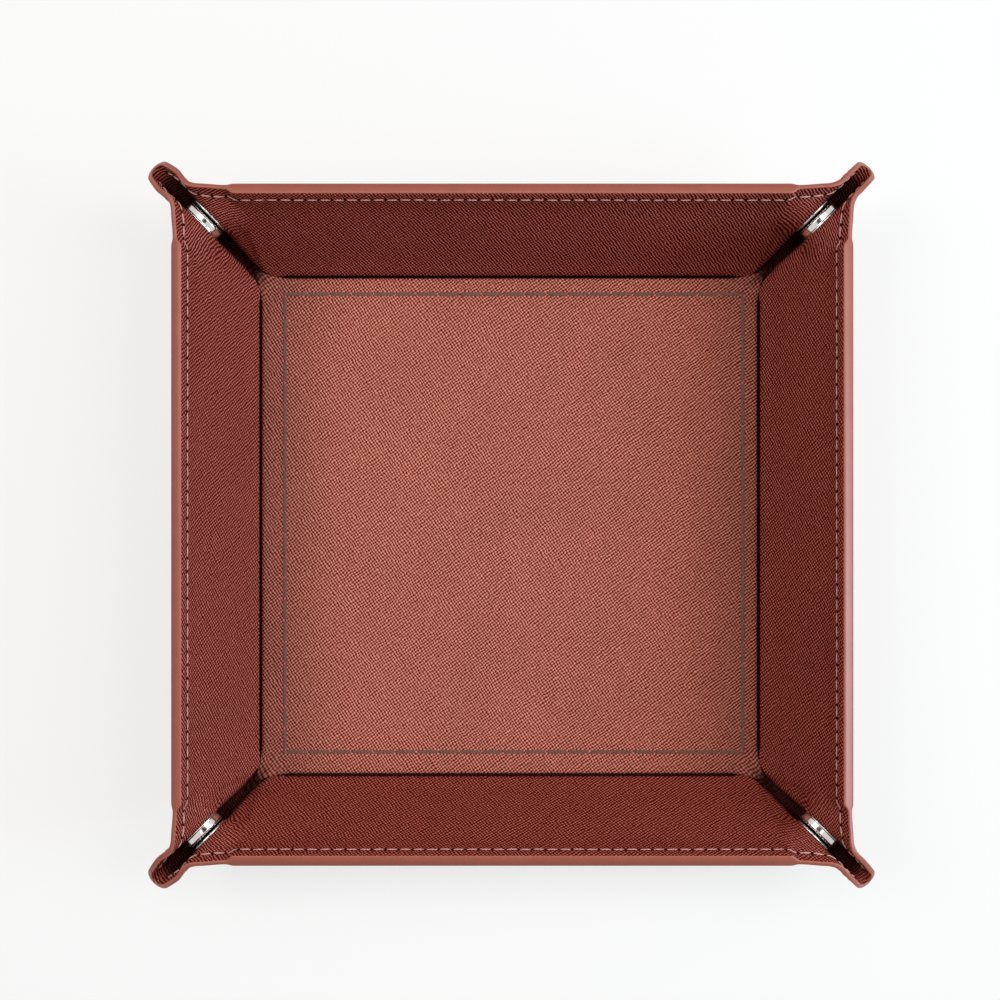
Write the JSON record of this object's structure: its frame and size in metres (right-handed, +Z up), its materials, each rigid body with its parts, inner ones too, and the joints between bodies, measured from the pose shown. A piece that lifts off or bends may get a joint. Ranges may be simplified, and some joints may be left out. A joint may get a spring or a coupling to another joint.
{
  "type": "valet tray",
  "caption": "Square leather valet tray: a lined flat sheet with stiff boards, whose corners are pinched into ears by snap fasteners and unsnap to lie flat.",
  "frame": {"origin": "middle of the underside of the base, on the surface that the tray stands on", "axes": "+Z up, +Y towards the north wall, +X towards the east wall"},
  "size_m": [0.2324, 0.2324, 0.0357],
  "materials": {
    "lining_leather": "cross-hatch embossed, semi-matt",
    "outer_leather": "cross-hatch embossed, semi-matt",
    "greyboard": "raw board",
    "snap_metal": "polished nickel",
    "rim_thread": "twisted thread",
    "frame_thread": "flat thread"
  },
  "bodies": {
    "base": {"base_outer_skin": "outer_leather", "base_board": "greyboard", "base_lining": "lining_leather", "base_sewn_frame": "frame_thread"},
    "wall_north": {"wall_north_outer_skin": "outer_leather", "wall_north_board": "greyboard", "wall_north_lining": "lining_leather", "wall_north_thread": "rim_thread"},
    "ear_ne_north": {"ear_ne_north_outer_skin": "outer_leather", "ear_ne_north_lining": "lining_leather", "snap_ne_stud": "snap_metal", "snap_ne_post": "snap_metal"},
    "ear_nw_north": {"ear_nw_north_outer_skin": "outer_leather", "ear_nw_north_lining": "lining_leather", "snap_nw_stud": "snap_metal", "snap_nw_post": "snap_metal"},
    "wall_west": {"wall_west_outer_skin": "outer_leather", "wall_west_board": "greyboard", "wall_west_lining": "lining_leather", "wall_west_thread": "rim_thread"},
    "ear_nw_west": {"ear_nw_west_outer_skin": "outer_leather", "ear_nw_west_lining": "lining_leather", "snap_nw_socket": "snap_metal", "snap_nw_cap": "snap_metal"},
    "ear_sw_west": {"ear_sw_west_outer_skin": "outer_leather", "ear_sw_west_lining": "lining_leather", "snap_sw_socket": "snap_metal", "snap_sw_cap": "snap_metal"},
    "wall_south": {"wall_south_outer_skin": "outer_leather", "wall_south_board": "greyboard", "wall_south_lining": "lining_leather", "wall_south_thread": "rim_thread"},
    "ear_sw_south": {"ear_sw_south_outer_skin": "outer_leather", "ear_sw_south_lining": "lining_leather", "snap_sw_stud": "snap_metal", "snap_sw_post": "snap_metal"},
    "ear_se_south": {"ear_se_south_outer_skin": "outer_leather", "ear_se_south_lining": "lining_leather", "snap_se_stud": "snap_metal", "snap_se_post": "snap_metal"},
    "wall_east": {"wall_east_outer_skin": "outer_leather", "wall_east_board": "greyboard", "wall_east_lining": "lining_leather", "wall_east_thread": "rim_thread"},
    "ear_se_east": {"ear_se_east_outer_skin": "outer_leather", "ear_se_east_lining": "lining_leather", "snap_se_socket": "snap_metal", "snap_se_cap": "snap_metal"},
    "ear_ne_east": {"ear_ne_east_outer_skin": "outer_leather", "ear_ne_east_lining": "lining_leather", "snap_ne_socket": "snap_metal", "snap_ne_cap": "snap_metal"}
  },
  "joints": [
    {"name": "wall_north_fold", "type": "hinge", "parent": "base", "child": "wall_north", "pos_m": [0, 0.0845, 0.0008], "axis": [-1, 0, 0], "range_deg": [0, 60]},
    {"name": "ear_ne_north_fold", "type": "hinge", "parent": "wall_north", "child": "ear_ne_north", "pos_m": [0.07996, 0.08519, 0.0004], "axis": [-0.4472, -0.4472, -0.7746], "range_deg": [0, 52.24]},
    {"name": "ear_nw_north_fold", "type": "hinge", "parent": "wall_north", "child": "ear_nw_north", "pos_m": [-0.07996, 0.08519, 0.0004], "axis": [-0.4472, 0.4472, 0.7746], "range_deg": [0, 52.24]},
    {"name": "wall_west_fold", "type": "hinge", "parent": "base", "child": "wall_west", "pos_m": [-0.0845, 0, 0.0008], "axis": [0, -1, 0], "range_deg": [0, 60]},
    {"name": "ear_nw_west_fold", "type": "hinge", "parent": "wall_west", "child": "ear_nw_west", "pos_m": [-0.08519, 0.07996, 0.0004], "axis": [0.4472, -0.4472, -0.7746], "range_deg": [0, 52.24]},
    {"name": "ear_sw_west_fold", "type": "hinge", "parent": "wall_west", "child": "ear_sw_west", "pos_m": [-0.08519, -0.07996, 0.0004], "axis": [-0.4472, -0.4472, 0.7746], "range_deg": [0, 52.24]},
    {"name": "wall_south_fold", "type": "hinge", "parent": "base", "child": "wall_south", "pos_m": [0, -0.0845, 0.0008], "axis": [1, 0, 0], "range_deg": [0, 60]},
    {"name": "ear_sw_south_fold", "type": "hinge", "parent": "wall_south", "child": "ear_sw_south", "pos_m": [-0.07996, -0.08519, 0.0004], "axis": [0.4472, 0.4472, -0.7746], "range_deg": [0, 52.24]},
    {"name": "ear_se_south_fold", "type": "hinge", "parent": "wall_south", "child": "ear_se_south", "pos_m": [0.07996, -0.08519, 0.0004], "axis": [0.4472, -0.4472, 0.7746], "range_deg": [0, 52.24]},
    {"name": "wall_east_fold", "type": "hinge", "parent": "base", "child": "wall_east", "pos_m": [0.0845, 0, 0.0008], "axis": [0, 1, 0], "range_deg": [0, 60]},
    {"name": "ear_se_east_fold", "type": "hinge", "parent": "wall_east", "child": "ear_se_east", "pos_m": [0.08519, -0.07996, 0.0004], "axis": [-0.4472, 0.4472, -0.7746], "range_deg": [0, 52.24]},
    {"name": "ear_ne_east_fold", "type": "hinge", "parent": "wall_east", "child": "ear_ne_east", "pos_m": [0.08519, 0.07996, 0.0004], "axis": [0.4472, 0.4472, 0.7746], "range_deg": [0, 52.24]}
  ],
  "couplings": [
    {"joint": "ear_ne_north_fold", "follows": "wall_north_fold", "ratio": 0.87065},
    {"joint": "ear_nw_north_fold", "follows": "wall_north_fold", "ratio": 0.87065},
    {"joint": "wall_west_fold", "follows": "wall_north_fold", "ratio": 1},
    {"joint": "ear_nw_west_fold", "follows": "wall_north_fold", "ratio": 0.87065},
    {"joint": "ear_sw_west_fold", "follows": "wall_north_fold", "ratio": 0.87065},
    {"joint": "wall_south_fold", "follows": "wall_north_fold", "ratio": 1},
    {"joint": "ear_sw_south_fold", "follows": "wall_north_fold", "ratio": 0.87065},
    {"joint": "ear_se_south_fold", "follows": "wall_north_fold", "ratio": 0.87065},
    {"joint": "wall_east_fold", "follows": "wall_north_fold", "ratio": 1},
    {"joint": "ear_se_east_fold", "follows": "wall_north_fold", "ratio": 0.87065},
    {"joint": "ear_ne_east_fold", "follows": "wall_north_fold", "ratio": 0.87065}
  ]
}
